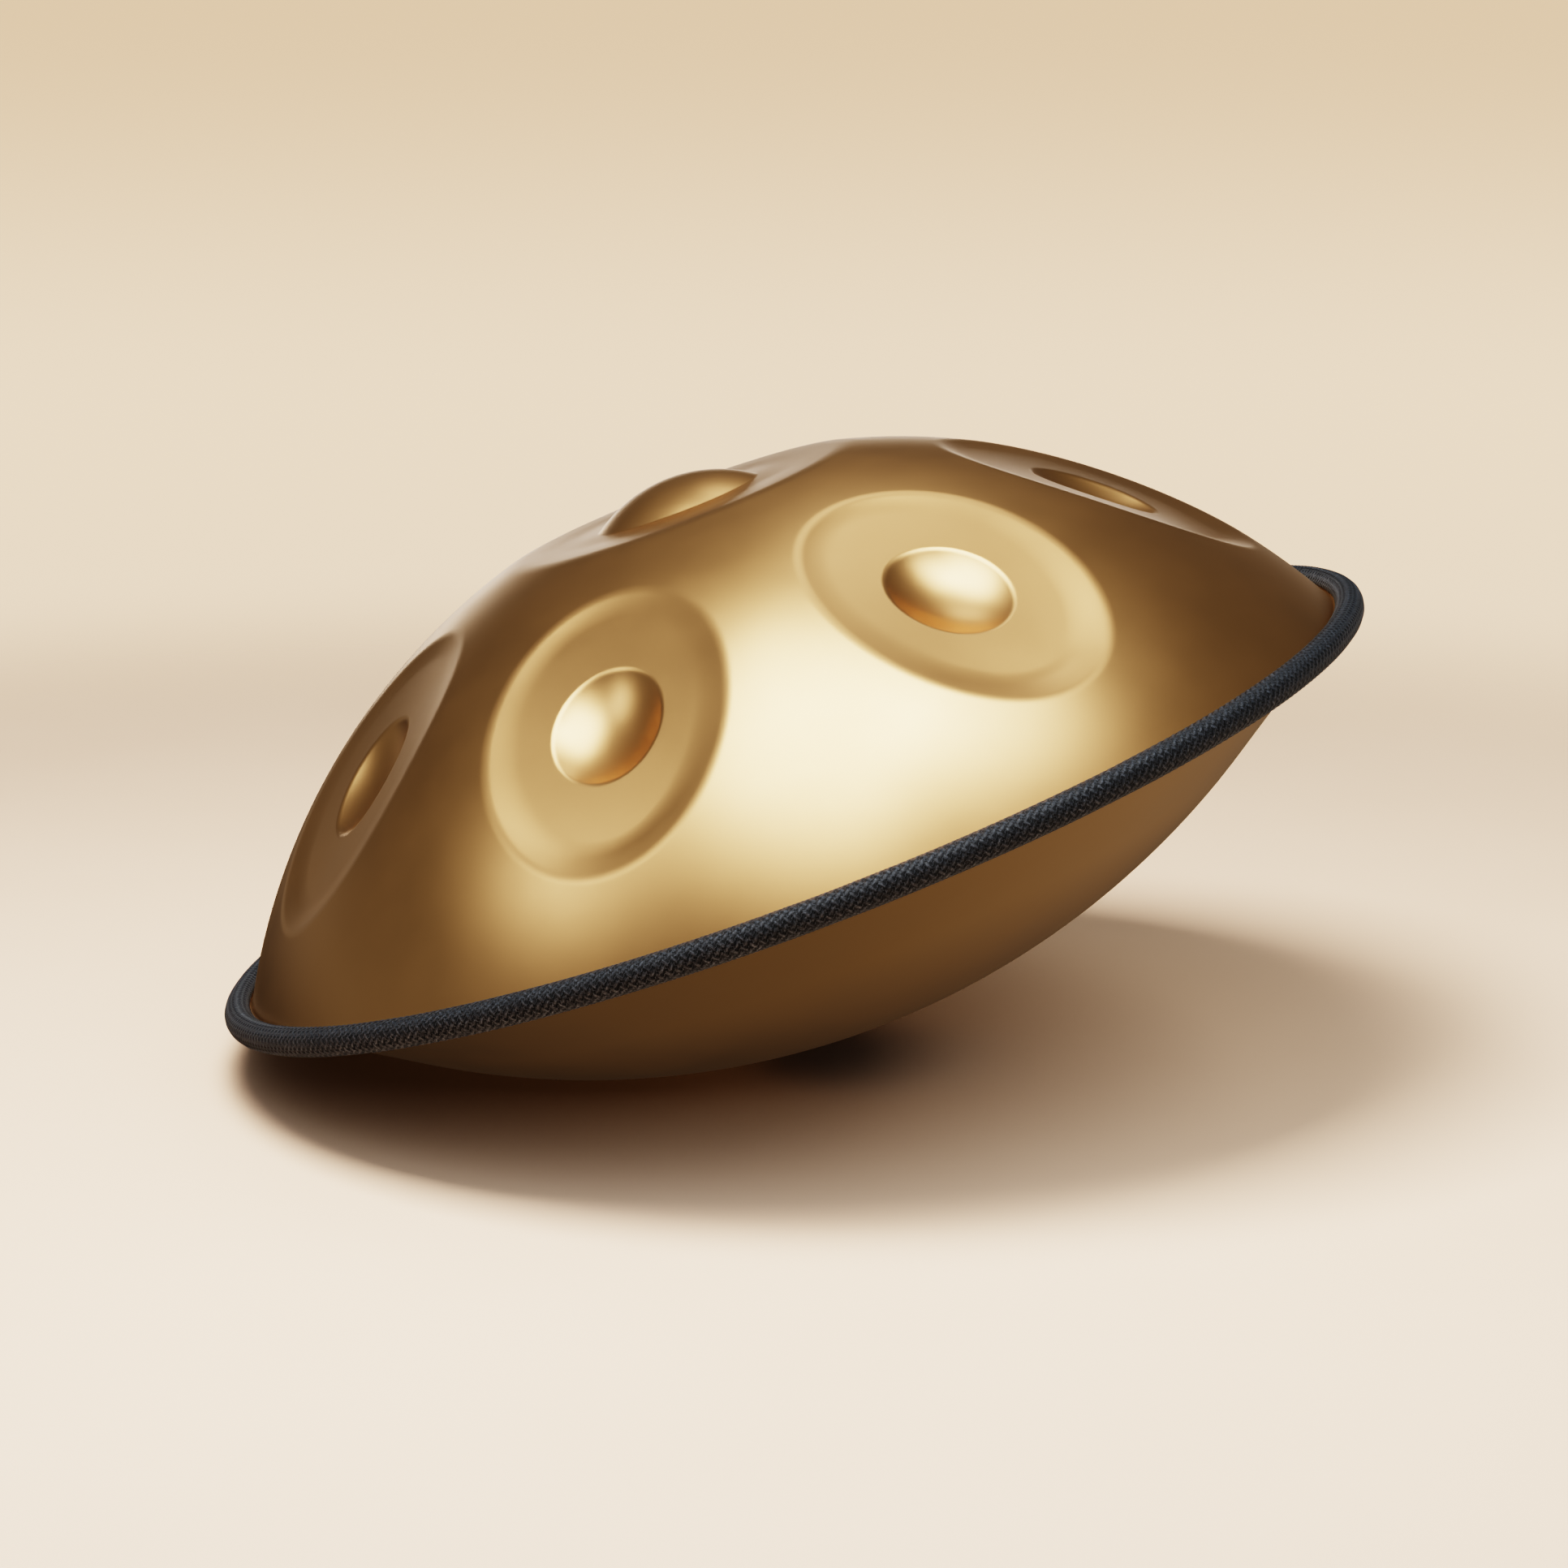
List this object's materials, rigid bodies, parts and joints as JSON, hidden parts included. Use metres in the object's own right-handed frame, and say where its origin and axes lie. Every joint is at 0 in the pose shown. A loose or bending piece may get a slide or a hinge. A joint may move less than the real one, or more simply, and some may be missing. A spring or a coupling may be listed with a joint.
{
  "type": "handpan",
  "caption": "Lens-shaped steel hand drum: domed top with a raised centre dome in a flat ring and a ring of oval dimpled tone fields, bowl with a round port below, black braided rope at the rim.",
  "frame": {"origin": "centre of the instrument's footprint at its lowest level, where the rolled edge of the port rests on a table", "axes": "+Z along the instrument's axis towards the raised centre dome; -Y is the front, the side facing the viewer, with one tone field 19.7 degrees to the left of it"},
  "size_m": [0.5426, 0.5428, 0.254],
  "materials": {
    "shell_steel": "satin steel sheet with a gold-coloured surface layer, fine even grain",
    "rope_fibre": "tight round braid of black polyester",
    "rope_core_fibre": "plain laid fibre filling, undyed",
    "trim_rubber": "black extruded rubber, slightly shiny edges",
    "patch_rubber": "matt black self-adhesive strip",
    "adhesive": "cured epoxy, amber, slightly translucent in life"
  },
  "bodies": {
    "root": {"top_shell": "shell_steel", "bottom_shell": "shell_steel", "flange_adhesive": "adhesive", "edge_trim": "trim_rubber", "rope_adhesive": "adhesive", "rope_core": "rope_core_fibre", "rope_jacket": "rope_fibre", "rope_join_patch": "patch_rubber"}
  },
  "joints": []
}
